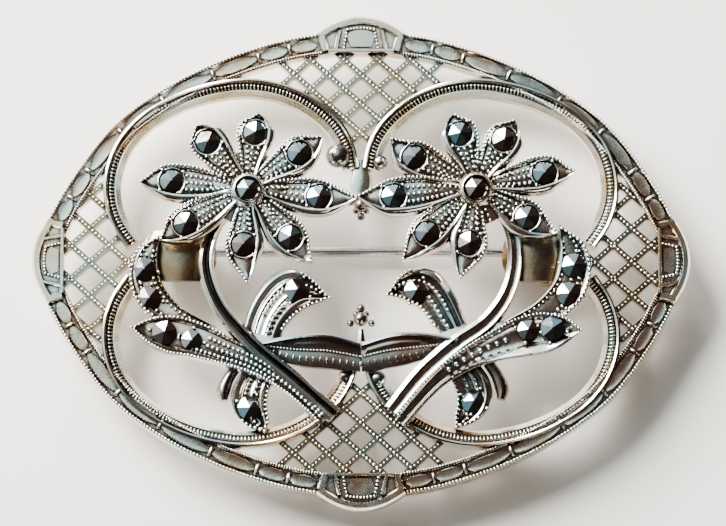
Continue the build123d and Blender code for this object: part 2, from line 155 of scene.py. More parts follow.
def sheet(name, strip, section, top, foot, full=0.45):
    """A solid between a strip's edges, with its face shaped by section.

    section is (place across from -1 to 1, height over top), which flattens where the strip's half
    width is less than full; the walls go down to foot."""
    count = len(strip[0])
    rows = len(section)
    half = np.linalg.norm(strip[1] - strip[0], axis=1) / 2
    lanes = [lane(strip, place) for place, height in section]
    deselect()
    bpy.ops.mesh.primitive_grid_add(x_subdivisions=count - 1, y_subdivisions=rows - 1, size=1)
    obj = bpy.context.object
    obj.name = name
    for v in obj.data.vertices:
        i = round((v.co.x + 0.5) * (count - 1))
        j = round((v.co.y + 0.5) * (rows - 1))
        x, y = lanes[j][i]
        shrink = min(1, half[i] / full)
        v.co = (x * MM, y * MM, (top + section[j][1] * shrink) * MM)
    active(obj)
    bpy.ops.object.mode_set(mode="EDIT")
    bpy.ops.mesh.select_mode(type="EDGE")
    bpy.ops.mesh.select_all(action="DESELECT")
    bpy.ops.mesh.select_non_manifold()
    bpy.ops.mesh.extrude_edges_move()
    bpy.ops.object.mode_set(mode="OBJECT")
    for v in obj.data.vertices:
        if v.select:
            v.co.z = foot * MM
    bpy.ops.object.mode_set(mode="EDIT")
    bpy.ops.mesh.edge_face_add()
    bpy.ops.mesh.select_all(action="SELECT")
    bpy.ops.mesh.normals_make_consistent(inside=False)
    bpy.ops.object.mode_set(mode="OBJECT")
    bpy.ops.object.shade_smooth_by_angle(angle=radians(38))
    return obj


def blade(name, points, section, top, foot, count=40):
    """A sheet that follows points (x, y, half width)."""
    return sheet(name, strip_of(points, count), section, top, foot)


def model_bead():
    """One grain of unit radius."""
    deselect()
    bpy.ops.mesh.primitive_uv_sphere_add(segments=8, ring_count=5, radius=1)
    bpy.ops.object.shade_smooth()
    return bpy.context.object


def model_round():
    """A smooth ball of unit radius."""
    deselect()
    bpy.ops.mesh.primitive_uv_sphere_add(segments=20, ring_count=12, radius=1)
    bpy.ops.object.shade_smooth()
    return bpy.context.object


def model_stone():
    """One marcasite of unit radius: six sloping facets, cut to a round outline."""
    deselect()
    bpy.ops.mesh.primitive_cone_add(
        vertices=6, radius1=1.3, radius2=0.08, depth=0.62, location=(0, 0, 0.27))
    stone = bpy.context.object
    deselect()
    bpy.ops.mesh.primitive_cylinder_add(vertices=30, radius=1, depth=3)
    girdle = bpy.context.object
    cut = stone.modifiers.new("round", "BOOLEAN")
    cut.operation = "INTERSECT"
    cut.object = girdle
    cut.solver = "EXACT"
    active(stone)
    bpy.ops.object.transform_apply(location=True, rotation=True, scale=True)
    bpy.ops.object.modifier_apply(modifier="round")
    bpy.data.objects.remove(girdle)
    return stone


def model_lip():
    """The raised lip round a stone of unit radius, with a gap between them."""
    deselect()
    bpy.ops.mesh.primitive_torus_add(
        major_segments=24, minor_segments=6, major_radius=1.2, minor_radius=0.09)
    bpy.ops.object.shade_smooth()
    return bpy.context.object


def copies(name, model, places):
    """One object made of a copy of the model at each place, a 4x4 matrix in millimetres."""
    bm = bmesh.new()
    for place in places:
        start = len(bm.verts)
        bm.from_mesh(model.data)
        bm.verts.ensure_lookup_table()
        bmesh.ops.transform(bm, matrix=Matrix.Scale(MM, 4) @ place, verts=bm.verts[start:])
    mesh = bpy.data.meshes.new(name)
    bm.to_mesh(mesh)
    bm.free()
    obj = bpy.data.objects.new(name, mesh)
    bpy.context.collection.objects.link(obj)
    return obj


def grain(x, y, z, radius, flat=0.85):
    """Where one round grain sits."""
    return Matrix.Translation((x, y, z)) @ Matrix.Diagonal((radius, radius, radius * flat, 1))


def oval(x, y, z, angle, long, wide, high, slope=0.0):
    """Where one long grain sits: angle turns it in the plan and slope tips it along its length."""
    turn = Matrix.Rotation(angle, 4, "Z") @ Matrix.Rotation(slope, 4, "Y")
    return Matrix.Translation((x, y, z)) @ turn @ Matrix.Diagonal((long, wide, high, 1))


def grains_along(line, z, radius=GRAIN, pitch=GRAIN_PITCH, start=0.0, end=1.0):
    """Grains at an even pitch along a plan line, between two shares of its length."""
    steps = np.linalg.norm(np.diff(line[:, :2], axis=0), axis=1)
    along = np.r_[0, np.cumsum(steps)]
    count = max(int(along[-1] * (end - start) / pitch), 1)
    spots = np.linspace(along[-1] * start, along[-1] * end, count + 1)
    found = []
    for s in spots:
        x = np.interp(s, along, line[:, 0])
        y = np.interp(s, along, line[:, 1])
        found.append(grain(x, y, z, radius))
    return found


def spots_along(line, pitch):
    """(x, y, direction) at an even pitch along a plan line."""
    steps = np.linalg.norm(np.diff(line, axis=0), axis=1)
    along = np.r_[0, np.cumsum(steps)]
    reach = np.linspace(0, along[-1], int(along[-1] / pitch) + 1)
    heading = np.unwrap(np.arctan2(np.gradient(line[:, 1]), np.gradient(line[:, 0])))
    columns = (line[:, 0], line[:, 1], heading)
    return zip(*(np.interp(reach, along, column) for column in columns))


def joined(name, parts):
    """The parts as one object, named for the piece."""
    active(parts[0])
    for part in parts:
        part.select_set(True)
    bpy.ops.object.join()
    obj = bpy.context.object
    obj.name = name
    obj.data.name = name
    return obj


def coat(obj, material):
    """Gives an object one material in place of any that it has."""
    obj.data.materials.clear()
    obj.data.materials.append(material)


def settle(obj, material, slot, *nodes):
    """Gives a finished piece its metal and its body, and hides the nodes that it stands for."""
    coat(obj, material)
    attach(obj, "root")
    if nodes:
        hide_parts(*nodes)
    return obj


# ---------------------------------------------------------------- metals

PATCH_SCALE = 260
STAIN_SCALE = 1500
SCRATCH_SCALE = 3500
SCRATCH_DEPTH = 0.00003


def silver(name, clean, warm, cool, tarnish, rough, depth=0.35):
    """Polished metal, tinted in patches, with tarnish where the surface is hollow.

    depth is how wide a hollow, in millimetres, still holds tarnish."""
    material = bpy.data.materials.new(name)
    material.use_nodes = True
    nodes = material.node_tree.nodes
    links = material.node_tree.links
    shader = nodes["Principled BSDF"]
    shader.inputs["Metallic"].default_value = 1.0
    place = nodes.new("ShaderNodeTexCoord")

    patches = nodes.new("ShaderNodeTexNoise")
    patches.inputs["Scale"].default_value = PATCH_SCALE
    patches.inputs["Detail"].default_value = 3
    links.new(place.outputs["Object"], patches.inputs["Vector"])
    tint = nodes.new("ShaderNodeValToRGB")
    tint.color_ramp.elements[0].position = 0.36
    tint.color_ramp.elements[0].color = (*warm, 1)
    tint.color_ramp.elements[1].position = 0.64
    tint.color_ramp.elements[1].color = (*cool, 1)
    middle = tint.color_ramp.elements.new(0.5)
    middle.color = (*clean, 1)
    links.new(patches.outputs["Fac"], tint.inputs["Fac"])

    hollow = nodes.new("ShaderNodeAmbientOcclusion")
    hollow.samples = 6
    hollow.inputs["Distance"].default_value = depth * MM
    stain = nodes.new("ShaderNodeTexNoise")
    stain.inputs["Scale"].default_value = STAIN_SCALE
    stain.inputs["Detail"].default_value = 4
    links.new(place.outputs["Object"], stain.inputs["Vector"])
    edge = nodes.new("ShaderNodeMath")
    edge.operation = "MULTIPLY_ADD"
    edge.inputs[1].default_value = -0.35
    links.new(stain.outputs["Fac"], edge.inputs[0])
    links.new(hollow.outputs["AO"], edge.inputs[2])
    cover = nodes.new("ShaderNodeValToRGB")
    cover.color_ramp.elements[0].position = 0.3
    cover.color_ramp.elements[0].color = (*tarnish, 1)
    cover.color_ramp.elements[1].position = 0.78
    cover.color_ramp.elements[1].color = (1, 1, 1, 1)
    links.new(edge.outputs["Value"], cover.inputs["Fac"])
    mix = nodes.new("ShaderNodeMix")
    mix.data_type = "RGBA"
    mix.blend_type = "MULTIPLY"
    mix.inputs["Factor"].default_value = 1
    links.new(tint.outputs["Color"], mix.inputs["A"])
    links.new(cover.outputs["Color"], mix.inputs["B"])
    links.new(mix.outputs["Result"], shader.inputs["Base Color"])

    wear = nodes.new("ShaderNodeMapRange")
    wear.inputs["To Min"].default_value = rough
    wear.inputs["To Max"].default_value = rough + 0.1
    links.new(stain.outputs["Fac"], wear.inputs["Value"])
    links.new(wear.outputs["Result"], shader.inputs["Roughness"])

    scratches = nodes.new("ShaderNodeTexNoise")
    scratches.inputs["Scale"].default_value = SCRATCH_SCALE
    scratches.inputs["Detail"].default_value = 2
    links.new(place.outputs["Object"], scratches.inputs["Vector"])
    bump = nodes.new("ShaderNodeBump")
    bump.inputs["Strength"].default_value = 0.14
    bump.inputs["Distance"].default_value = SCRATCH_DEPTH
    links.new(scratches.outputs["Fac"], bump.inputs["Height"])
    links.new(bump.outputs["Normal"], shader.inputs["Normal"])
    return material


# Each metal: its name, its clean, warm, cool and tarnished tints, its roughness, and how wide a
# hollow stays dark. The three darker copies of the silver carry painted shade in their tints.
frame_silver = silver(
    "frame_silver", (0.88, 0.83, 0.72), (0.74, 0.57, 0.40), (0.68, 0.78, 0.74),
    (0.07, 0.048, 0.033), 0.12, 0.3)
spray_silver = silver(
    "spray_silver", (0.92, 0.90, 0.84), (0.78, 0.66, 0.53), (0.66, 0.82, 0.82),
    (0.03, 0.02, 0.014), 0.1)
lattice_silver = silver(
    "lattice_silver", (0.92, 0.88, 0.76), (0.74, 0.60, 0.42), (0.74, 0.80, 0.76),
    (0.05, 0.035, 0.025), 0.14)
# A darker, warmer copy of the silver for the lattice wires: painted shade round their bright grains
painted_shade_wire_silver = silver(
    "painted_shade_wire_silver", (0.50, 0.42, 0.31), (0.40, 0.29, 0.19), (0.40, 0.42, 0.36),
    (0.05, 0.035, 0.025), 0.14)
# A darker copy of the same silver: painted shade for the knobs, the lower shield, the trefoils, the
# curls and the tie's pages
painted_shade_silver = silver(
    "painted_shade_silver", (0.26, 0.21, 0.18), (0.22, 0.14, 0.11), (0.24, 0.28, 0.27),
    (0.05, 0.035, 0.03), 0.14)
# A darker, warmer copy of the silver for the fittings on the back: painted shade under the front
# pieces
painted_shade_fitting_silver = silver(
    "painted_shade_fitting_silver", (0.30, 0.22, 0.13), (0.22, 0.14, 0.08), (0.28, 0.25, 0.19),
    (0.05, 0.035, 0.022), 0.14)
pin_steel = silver(
    "pin_steel", (0.56, 0.55, 0.53), (0.50, 0.46, 0.42), (0.52, 0.54, 0.56),
    (0.08, 0.06, 0.05), 0.2)
marcasite = silver(
    "marcasite", (0.46, 0.54, 0.58), (0.46, 0.36, 0.32), (0.36, 0.56, 0.62),
    (0.06, 0.05, 0.045), 0.05)

bead = model_bead()
ball = model_round()
stone = model_stone()
lip = model_lip()

# ---------------------------------------------------------------- plans of the frame

# The upper right quarter's middle lines; the other three quarters are its mirror images
BORDER_LINE = [
    (1.5, 17.2), (5.5, 16.55), (7.8, 15.9), (11.3, 14.55), (15.1, 12.5),
    (18.3, 10.0), (20.7, 6.95), (22.0, 4.9), (23.7, 1.5),
]
BORDER_HALF = 0.875
SCROLL_LINE = [
    (17.3, 1.4), (18.3, 2.9), (18.9, 4.7), (18.9, 6.7), (18.2, 8.8), (16.9, 10.5), (14.4, 12.2),
    (11.3, 13.3), (8.4, 13.6), (5.8, 13.1), (3.4, 11.8), (1.8, 10.2), (1.0, 8.6), (0.75, 7.2),
]
SCROLL_HALF = 0.68
RIB_PITCH = 0.28
# Sections from one edge of a strip to the other: place across, and height over the node's top
BAND = [
    (-1, -0.5), (-0.96, -0.16), (-0.84, -0.08), (-0.7, -0.16), (-0.62, -0.24), (0.62, -0.24),
    (0.7, -0.16), (0.84, -0.08), (0.96, -0.16), (1, -0.5),
]
LOZENGE = [
    (-1, -0.3), (-0.88, -0.04), (-0.7, 0.04), (0, 0.01), (0.7, 0.04), (0.88, -0.04), (1, -0.3),
]
HOOP = [
    (-1, -0.5), (-0.96, -0.2), (-0.86, -0.02), (-0.68, 0.04), (-0.52, -0.02), (-0.45, -0.14),
    (-0.42, -0.26), (-0.3, -0.38), (0.25, -0.48), (0.32, -0.38), (0.44, -0.37), (0.97, -0.72),
    (1, -1.0),
]
# Half widths of a border leaf from one pointed end to the other
BORDER_LEAF = (0.2, 0.44, 0.54, 0.56, 0.54, 0.44, 0.2)
# The border's stations before its first tie and after its last
BORDER_ENDS = (24, 376)
# Each ball at a scroll's inner end: its place and radius
KNOBS = {
    "upper_left": (-1.75, 8.2, 0.95), "upper_right": (1.5, 7.7, 0.55),
    "lower_left": (-1.2, -8.8, 0.5), "lower_right": (1.3, -9.0, 0.6),
}
# Long grains, as half their length, width and height: the outer milgrain, a tie and a rib
TICK = (0.08, 0.19, 0.15)
BINDING = (0.5, 0.17, 0.24)
RIB = (0.28, 0.08, 0.17)


def border(corner, sx, sy):
    """One band of the border: a channel with milgrain edges, filled with dished leaves and ties."""
    node = f"border_{corner}"
    top = top_of(node)
    foot = foot_of(node)
    points = [(x * sx, y * sy, BORDER_HALF) for x, y in BORDER_LINE]
    strip = strip_of(points, 400)
    line = lane(strip, 0)
    side = across(line)
    outside = -sx * sy
    parts = [blade(node, points, BAND, top, foot, 90)]
    stops = [int(np.argmin(np.hypot(line[:, 0] - t[0], line[:, 1] - t[1]))) for t in points[1:-1]]
    ends = [BORDER_ENDS[0], *stops, BORDER_ENDS[1]]
    for a, b in zip(ends, ends[1:]):
        leaf = line[a + 3:b - 2]
        marks = np.linspace(0, len(leaf) - 1, len(BORDER_LEAF)).astype(int)
        shape = [(leaf[m, 0], leaf[m, 1], h) for m, h in zip(marks, BORDER_LEAF)]
        parts.append(blade("leaf", shape, LOZENGE, top, foot + 0.4, 16))
    grains = []
    for x, y, angle in spots_along(lane(strip, outside, 0.17), 0.21):
        grains.append(oval(x, y, top - 0.08, angle, *TICK))
    grains += grains_along(lane(strip, -outside, 0.16), top - 0.06, 0.14, 0.27)
    for s in stops:
        angle = np.arctan2(side[s, 1], side[s, 0])
        grains.append(oval(line[s, 0], line[s, 1], top - 0.06, angle, *BINDING))
    parts.append(copies("grains", bead, grains))
    settle(joined(node + "_band", parts), frame_silver, "silver_frame", node)


def scroll(corner, sx, sy):
    """One hoop: a smooth rim outside, a reeded slope, and a thin rim round its opening."""
    node = f"scroll_{corner}"
    top = top_of(node)
    foot = foot_of(node) + FOOT_GAP
    points = [(x * sx, y * sy, SCROLL_HALF) for x, y in SCROLL_LINE]
    inward = sx * sy
    section = [(place * inward, height) for place, height in HOOP]
    if inward < 0:
        section.reverse()
    parts = [blade(node, points, section, top, foot, 110)]
    ribs = []
    ledge = lane(strip_of(points, 200), -0.05 * inward)
    for x, y, angle in spots_along(ledge, RIB_PITCH):
        ribs.append(oval(x, y, top - 0.36, angle + inward * pi / 2, *RIB, radians(14)))
    parts.append(copies("ribs", bead, ribs))
    settle(joined(node + "_hoop", parts), frame_silver, "silver_frame", node)
    x, y, radius = KNOBS[corner]
    knob = copies(node + "_knob", ball, [grain(x, y, top - 0.3, radius, 0.6)])
    # The knob takes the darker copy of the silver: painted shade
    settle(knob, painted_shade_silver, "silver_frame")


# How deep each plaque is from its arched edge to its straight one
KEYSTONE_DEPTHS = {"top": 2.85, "bottom": 2.85, "left": 2.45, "right": 2.45}
KEYSTONE_FLAT = [(-1, -0.4), (-0.97, -0.22), (0.97, -0.22), (1, -0.4)]
# Inside a plaque, each bar's points as distance from the middle and height over the straight edge
LEG = [(3.02, 1.25), (2.84, 0.7), (2.7, 0.1)]
SLAT = [(1.62, 1.66), (1.78, 0.9), (1.92, 0.08)]
SILL = [(-2.5, 0.14), (0, 0.14), (2.5, 0.14)]
# The rise of the arch over its half span
ARCH_RISE = 1.4
ARCH_SPAN = 3.4
RIDGE = [(-1, -0.35), (-0.8, -0.04), (0, 0.1), (0.8, -0.04), (1, -0.35)]
RAIL = [(-1, -0.5), (-0.85, -0.1), (-0.45, 0.08), (0.45, 0.08), (0.85, -0.1), (1, -0.5)]
PANEL = [(-1, -0.3), (-0.85, 0.0), (0.85, 0.0), (1, -0.3)]


def keystone(place):
    """A fan-shaped plaque: an arched rim with legs, a sill, and a panel in a frame of milgrain."""
    node = f"keystone_{place}"
    top = top_of(node) - 0.08
    foot = foot_of(node) + 2 * FOOT_GAP
    depth = KEYSTONE_DEPTHS[place]
    low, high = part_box(node)
    reach = max(abs(c) for c in (*low[:2], *high[:2])) / MM
    turn = QUARTER_TURNS[place]
    base = reach - depth

    def arch(half_span, drop, count=15):
        """Points across the fan, drop millimetres inside its arched edge."""
        spots = np.linspace(-half_span, half_span, count)
        return [(x, reach - drop - ARCH_RISE * (x / ARCH_SPAN) ** 2) for x in spots]

    def bar(points, half, count=12):
        shape = [(x, y, half) for x, y in points]
        return blade("bar", placed(shape, turn), RAIL, top, foot + 0.3, count)

    def inside(points, side=1):
        """Points over the straight edge, on one side of the middle."""
        return [(side * x, base + y) for x, y in points]

    body = []
    for x, y in arch(3.25, 0.12):
        bottom = base + max(abs(x) - 2.5, 0) * 1.5
        body.append((x, (y + bottom) / 2, max((y - bottom) / 2, 0.1)))
    parts = [blade(node, placed(body, turn), KEYSTONE_FLAT, top, foot, 40)]
    parts.append(bar(arch(3.15, 0.38), 0.37, count=36))
    for side in (-1, 1):
        parts.append(bar(inside(LEG, side), 0.33))
        parts.append(bar(inside(SLAT, side), 0.17))
    parts.append(bar(inside(SILL), 0.15))
    middle = base + (depth - 1.1) / 2 + 0.1
    tall = (depth - 1.5) / 2
    panel = [(-0.95, middle - 0.1, tall - 0.1), (-0.7, middle, tall), (0.7, middle, tall),
             (0.95, middle - 0.1, tall - 0.1)]
    parts.append(blade("panel", placed(panel, turn), PANEL, top - 0.1, foot + 0.3, 12))
    grains = grains_along(np.array(placed(arch(1.0, 0.98), turn)), top - 0.06, 0.12, 0.25)
    for side in (-1, 1):
        edge = placed(inside([(1.3, 0.35), (1.04, depth - 1.1)], side), turn)
        grains += grains_along(np.array(edge), top - 0.08, 0.12, 0.25)
    parts.append(copies("grains", bead, grains))
    settle(joined(node + "_plaque", parts), frame_silver, "silver_frame", node)


# Where the crossings of the wires lie along and across a lattice, and the wires' slope
CROSSINGS = {"upright": (2.55, 14.65), "sideways": (2.6, 20.6)}
WIRE_SLOPE = 42
WIRE_GRAIN_PITCH = 0.34


def lattice_grains(place):
    """Grains along the crossed wires, found by where a lattice's wires are."""
    node = f"lattice_{place}"
    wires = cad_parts[node]
    corners = [v.co.copy() for v in wires.data.vertices]
    tree = BVHTree.FromPolygons(corners, [p.vertices[:] for p in wires.data.polygons])
    top = top_of(node)
    upright = place in ("top", "bottom")
    pitch, middle = CROSSINGS["upright" if upright else "sideways"]
    side = {"top": 1, "bottom": -1, "left": -1, "right": 1}[place]
    grains = []
    for i in range(-5, 6):
        x0, y0 = (i * pitch, side * middle) if upright else (side * middle, i * pitch)
        for slope, radius in ((WIRE_SLOPE, 0.1), (-WIRE_SLOPE, 0.15)):
            for s in np.arange(-14, 14, WIRE_GRAIN_PITCH):
                x = x0 + s * cos(radians(slope))
                y = y0 + s * sin(radians(slope))
                hit = tree.ray_cast(Vector((x * MM, y * MM, 0.02)), Vector((0, 0, -1)))
                if hit[0] is not None:
                    grains.append(grain(x, y, top, radius))
    settle(copies(node + "_grains", bead, grains), lattice_silver, "silver_frame")
    # The wires take the darker copy of the silver: painted shade
    coat(wires, painted_shade_wire_silver)


# Half widths of a finial's shield at heights over the middle of the brooch, and its small lobes
SHIELD = ((7.9, 0.5), (7.0, 0.7), (6.0, 0.85), (5.2, 0.5))
LOBES = ((0, 3.55, 0.34), (-0.4, 4.0, 0.26), (0.4, 4.0, 0.26), (-0.8, 4.7, 0.3), (0.8, 4.7, 0.3))


def finial(place, side):
    """A trefoil round a ball, on a shield that narrows from where two scrolls meet."""
    node = f"finial_{place}"
    top = top_of(node)
    broad = 1.0 if place == "top" else 0.4
    shield = [(0, side * y, half * broad) for y, half in SHIELD]
    plate = blade(node + "_shield", shield, RIDGE, top, foot_of(node), 20)
    # The lower shield, under the tie, takes the darker copy of the silver: painted shade
    settle(plate, frame_silver if place == "top" else painted_shade_silver, "silver_frame")
    parts = [copies("lobes", bead, [grain(x, side * y, top - 0.35, r) for x, y, r in LOBES])]
    parts.append(copies("ball", ball, [grain(0, side * 4.4, top - 0.1, 0.56)]))
    # The trefoil takes the darker copy of the silver: painted shade
    settle(joined(node + "_trefoil", parts), painted_shade_silver, "silver_frame", node)


for corner, (sx, sy) in CORNERS.items():
    border(corner, sx, sy)
    scroll(corner, sx, sy)
for place in QUARTER_TURNS:
    keystone(place)
    lattice_grains(place)
finial("top", 1)
finial("bottom", -1)

# ---------------------------------------------------------------- flowers

PETAL = [
    (-1, -0.5), (-0.97, -0.16), (-0.9, 0.0), (-0.76, 0.09), (-0.64, 0.06), (-0.55, -0.1),
    (-0.5, -0.32), (0, -0.26), (0.62, -0.32), (0.7, -0.16), (0.8, -0.04), (0.94, -0.1), (1, -0.5),
]
# Each flower: its centre and its petals. Each petal: its stone's direction and distance, its tip's
# distance, the side of its smooth rim, and how far its tip swings aside
FLOWERS = {
    "left": ((-8.55, 5.25), [
        (174.4, 5.8, 8.2, 1, 0.33), (131.5, 4.68, 6.2, -1, -0.15), (83.7, 4.3, 5.8, -1, -0.1),
        (35.2, 4.7, 6.9, -1, 0.0), (-6.8, 5.4, 8.35, -1, 0.28), (-49.7, 5.0, 7.55, -1, 0.0),
        (-94.8, 4.38, 7.35, 1, 0.6), (-150.0, 5.45, 7.75, 1, 0.2)]),
    "right": ((8.7, 5.33), [
        (153.4, 5.2, 7.45, 1, -0.5), (105.6, 4.26, 5.86, 1, 0.07), (60.4, 4.24, 5.96, -1, 0.0),
        (12.0, 5.29, 7.6, -1, -0.4), (-31.2, 4.5, 7.17, -1, 0.1), (-96.4, 4.4, 7.2, -1, -0.4),
        (-136.6, 5.15, 7.95, 1, 0.28), (-173.8, 6.29, 9.0, 1, -0.25)]),
}


def setting(x, y, z, radius, angle=0.0):
    """Where the four grains that hold a stone sit."""
    reach = radius + SETTING_GAP
    found = []
    for i in range(4):
        a = angle + pi / 4 + i * pi / 2
        found.append(grain(x + reach * cos(a), y + reach * sin(a), z, GRAIN))
    return found


def stone_at(x, y, z, radius, angle, tip=0.0):
    """Where one stone sits: angle turns it in the plan and tip leans its table."""
    turn = Matrix.Rotation(angle, 4, "Z") @ Matrix.Rotation(tip, 4, "X")
    return Matrix.Translation((x, y, z)) @ turn @ Matrix.Scale(radius, 4)


# Rows of grains on a petal: the place across, and the share of its length where each starts
PETAL_ROWS = ((-0.32, 0.12), (0.04, 0.26), (0.4, 0.12))
HEART = [(-1, -0.4), (-0.5, -0.3), (0, -0.24), (0.5, -0.3), (1, -0.4)]
HEART_RADIUS = 2.9
COLLET_FOOT = 1.5
COLLET_LIP = 1.12
COLLET_HEIGHT = 0.6


def flower(place):
    """Eight pointed petals round a heart, each with a smooth rim, a milgrain rim and a stone."""
    centre, petals = FLOWERS[place]
    node = f"flower_{place}"
    top = top_of(node)
    foot = foot_of(node)
    parts = []
    grains = []
    stones = []
    lips = []
    for i, (angle, middle, tip, smooth_side, swing) in enumerate(petals):
        lean = 0.1 * smooth_side
        shape = [
            (0.9, 0, 0.56), (2.0, 0, 0.84), (3.0, lean / 2, 1.16), (middle - 0.3, lean, 1.48),
            (middle + 0.5, lean, 1.36), ((middle + tip + 0.6) / 2, lean + swing * 0.5, 0.76),
            (tip, swing, 0.03)]
        if middle < 4.3:
            del shape[2]
        petal = strip_of(placed(shape, angle, centre), 34)
        section = [(-smooth_side * across_at, height) for across_at, height in PETAL]
        if smooth_side > 0:
            section.reverse()
        face = top + 0.07 * (i % 2)
        parts.append(sheet("petal", petal, section, face, foot + 0.02 * i))
        edge = lane(petal, -smooth_side, 0.14)
        grains += grains_along(edge, face - 0.04, 0.14, 0.3, 0.16, 0.98)
        share = (middle - 2.1) / (tip - 0.9)
        for row, start in PETAL_ROWS:
            inner = lane(petal, -smooth_side * row)
            grains += grains_along(inner, face - 0.16, GRAIN, GRAIN_PITCH, start, share)
        x, y = placed([(middle, lean / 2)], angle, centre)[0]
        grains += setting(x, y, face - 0.05, STONE, radians(angle))
        turn, tip_over = 0.35 + 0.3 * (i % 3), radians(3 * (i % 3 - 1))
        stones.append(stone_at(x, y, face - 0.14, STONE - 0.06, turn, tip_over))
        lips.append(Matrix.Translation((x, y, face - 0.16)) @ Matrix.Scale(STONE - 0.06, 4))
    for angle in np.arange(0, 360, 22.5):
        ray = np.array(placed([(1.5, 0), (2.8, 0)], angle, centre))
        grains += grains_along(ray, top - 0.1, 0.13)
    parts.append(copies("grains", bead, grains))
    parts.append(copies("lips", lip, lips))
    settle(joined(node + "_petals", parts), spray_silver, "silver_spray", node)
    gems = copies(f"marcasites_{place}_petals", stone, stones)
    settle(gems, marcasite, "marcasite", f"marcasites_flower_{place}")

    collet_top = top_of(f"bezel_{place}")
    heart_at = (centre[0], centre[1] - 0.18)
    deselect()
    bpy.ops.mesh.primitive_cone_add(
        vertices=48, radius1=COLLET_FOOT * MM, radius2=COLLET_LIP * MM, depth=COLLET_HEIGHT * MM,
        location=(heart_at[0] * MM, heart_at[1] * MM, (collet_top - COLLET_HEIGHT / 2) * MM))
    ring = bpy.context.object
    bpy.ops.object.transform_apply(location=True, rotation=True, scale=True)
    bpy.ops.object.mode_set(mode="EDIT")
    bpy.ops.mesh.select_mode(type="FACE")
    bpy.ops.mesh.select_all(action="DESELECT")
    bpy.ops.object.mode_set(mode="OBJECT")
    for face in ring.data.polygons:
        face.select = face.normal.z > 0.9
    bpy.ops.object.mode_set(mode="EDIT")
    bpy.ops.mesh.inset(thickness=0.06 * MM, depth=0.05 * MM)
    bpy.ops.mesh.inset(thickness=0.06 * MM, depth=0.0)
    bpy.ops.mesh.inset(thickness=0.05 * MM, depth=-0.3 * MM)
    bpy.ops.object.mode_set(mode="OBJECT")
    bpy.ops.object.shade_smooth_by_angle(angle=radians(50))
    disc = [(centre[0] + x, centre[1], max((HEART_RADIUS ** 2 - x ** 2) ** 0.5, 0.1))
            for x in np.linspace(-HEART_RADIUS, HEART_RADIUS, 15)]
    heart = blade("heart", disc, HEART, top, foot + 0.2, 40)
    collet = joined(f"bezel_{place}_collet", [ring, heart])
    settle(collet, spray_silver, "silver_spray", f"bezel_{place}")
    spot = stone_at(*heart_at, collet_top - 0.2, 0.9, 0.4)
    gem = copies(f"marcasite_{place}_heart", stone, [spot])
    settle(gem, marcasite, "marcasite", f"marcasite_centre_{place}")


flower("left")
flower("right")

# ---------------------------------------------------------------- sprays

STEM_LEFT = [
    (-1, -0.6), (-0.94, -0.22), (-0.75, 0.0), (-0.45, 0.08), (-0.12, 0.0), (0.04, -0.2),
    (0.1, -0.44), (0.24, -0.44), (0.34, -0.18), (0.5, 0.0), (0.7, 0.03), (0.9, -0.14), (1, -0.55),
]
STEM_RIGHT = [
    (-1, -0.55), (-0.96, -0.2), (-0.92, -0.1), (-0.5, 0.06), (-0.44, 0.02), (-0.38, -0.36),
    (0.22, -0.42), (0.36, -0.22), (0.5, -0.02), (0.66, 0.02), (0.86, -0.16), (1, -0.55),
]
LEAF = [
    (-1, -0.75), (-0.84, -0.12), (-0.78, 0.03), (-0.68, 0.05), (-0.6, -0.06), (-0.54, -0.28),
    (0, -0.24), (0.66, -0.3), (0.74, -0.1), (0.86, 0.02), (0.96, -0.1), (1, -0.55),
]
BROAD_LEAF = [
    (-1, -0.55), (-0.96, -0.12), (-0.88, 0.03), (-0.78, 0.0), (-0.7, -0.16), (-0.6, -0.26),
    (0.34, -0.44), (0.42, -0.4), (0.5, -0.22), (0.86, 0.06), (0.94, 0.02), (1, -0.5),
]
BUD = [
    (-1, -0.5), (-0.97, -0.22), (-0.93, -0.12), (-0.62, 0.1), (-0.56, 0.08), (-0.5, -0.36),
    (-0.36, -0.4), (-0.28, -0.16), (-0.14, -0.04), (-0.06, -0.08), (0.0, -0.36), (0.14, -0.38),
    (0.24, -0.16), (0.36, -0.06), (0.44, -0.12), (0.52, -0.36), (0.74, -0.34), (0.84, -0.08),
    (0.94, -0.08), (1, -0.5),
]
# Middle lines with half widths
STEMS = {
    "left": [
        (-9.0, 4.9, 0.6), (-11.0, 2.7, 0.58), (-11.75, -0.4, 0.6), (-10.95, -3.2, 0.62),
        (-8.5, -6.3, 0.68), (-4.95, -9.4, 0.72), (-2.0, -12.0, 0.75)],
    "right": [
        (9.4, 4.9, 0.6), (11.2, 2.7, 0.58), (11.65, -0.2, 0.6), (11.0, -2.8, 0.64),
        (9.6, -4.75, 0.66), (7.2, -6.5, 0.7), (4.65, -8.75, 0.7), (2.3, -11.6, 0.62)],
}
LOWER_LEAVES = {
    "left": [
        (-17.3, -5.3, 0.05), (-16.2, -5.5, 0.85), (-14.5, -5.8, 1.45), (-12.5, -6.25, 1.4),
        (-10.3, -7.05, 1.15), (-7.9, -8.05, 0.9), (-5.7, -9.5, 0.7), (-4.0, -11.0, 0.6),
        (-2.7, -12.4, 0.5)],
    "right": [
        (16.6, -5.5, 0.05), (15.7, -5.45, 0.8), (14.2, -5.6, 1.45), (12.3, -5.95, 1.5),
        (10.2, -6.65, 1.15), (8.2, -7.55, 0.85), (6.0, -9.05, 0.65), (4.3, -10.8, 0.55),
        (2.9, -12.5, 0.5)],
}
CURLS = {
    "left": [(-9.2, -7.8, 0.4), (-10.05, -9.0, 0.46), (-10.4, -10.1, 0.48), (-10.35, -10.7, 0.28)],
    "right": [(9.4, -7.5, 0.4), (10.3, -8.8, 0.48), (10.65, -9.95, 0.5), (10.55, -10.6, 0.3)],
}
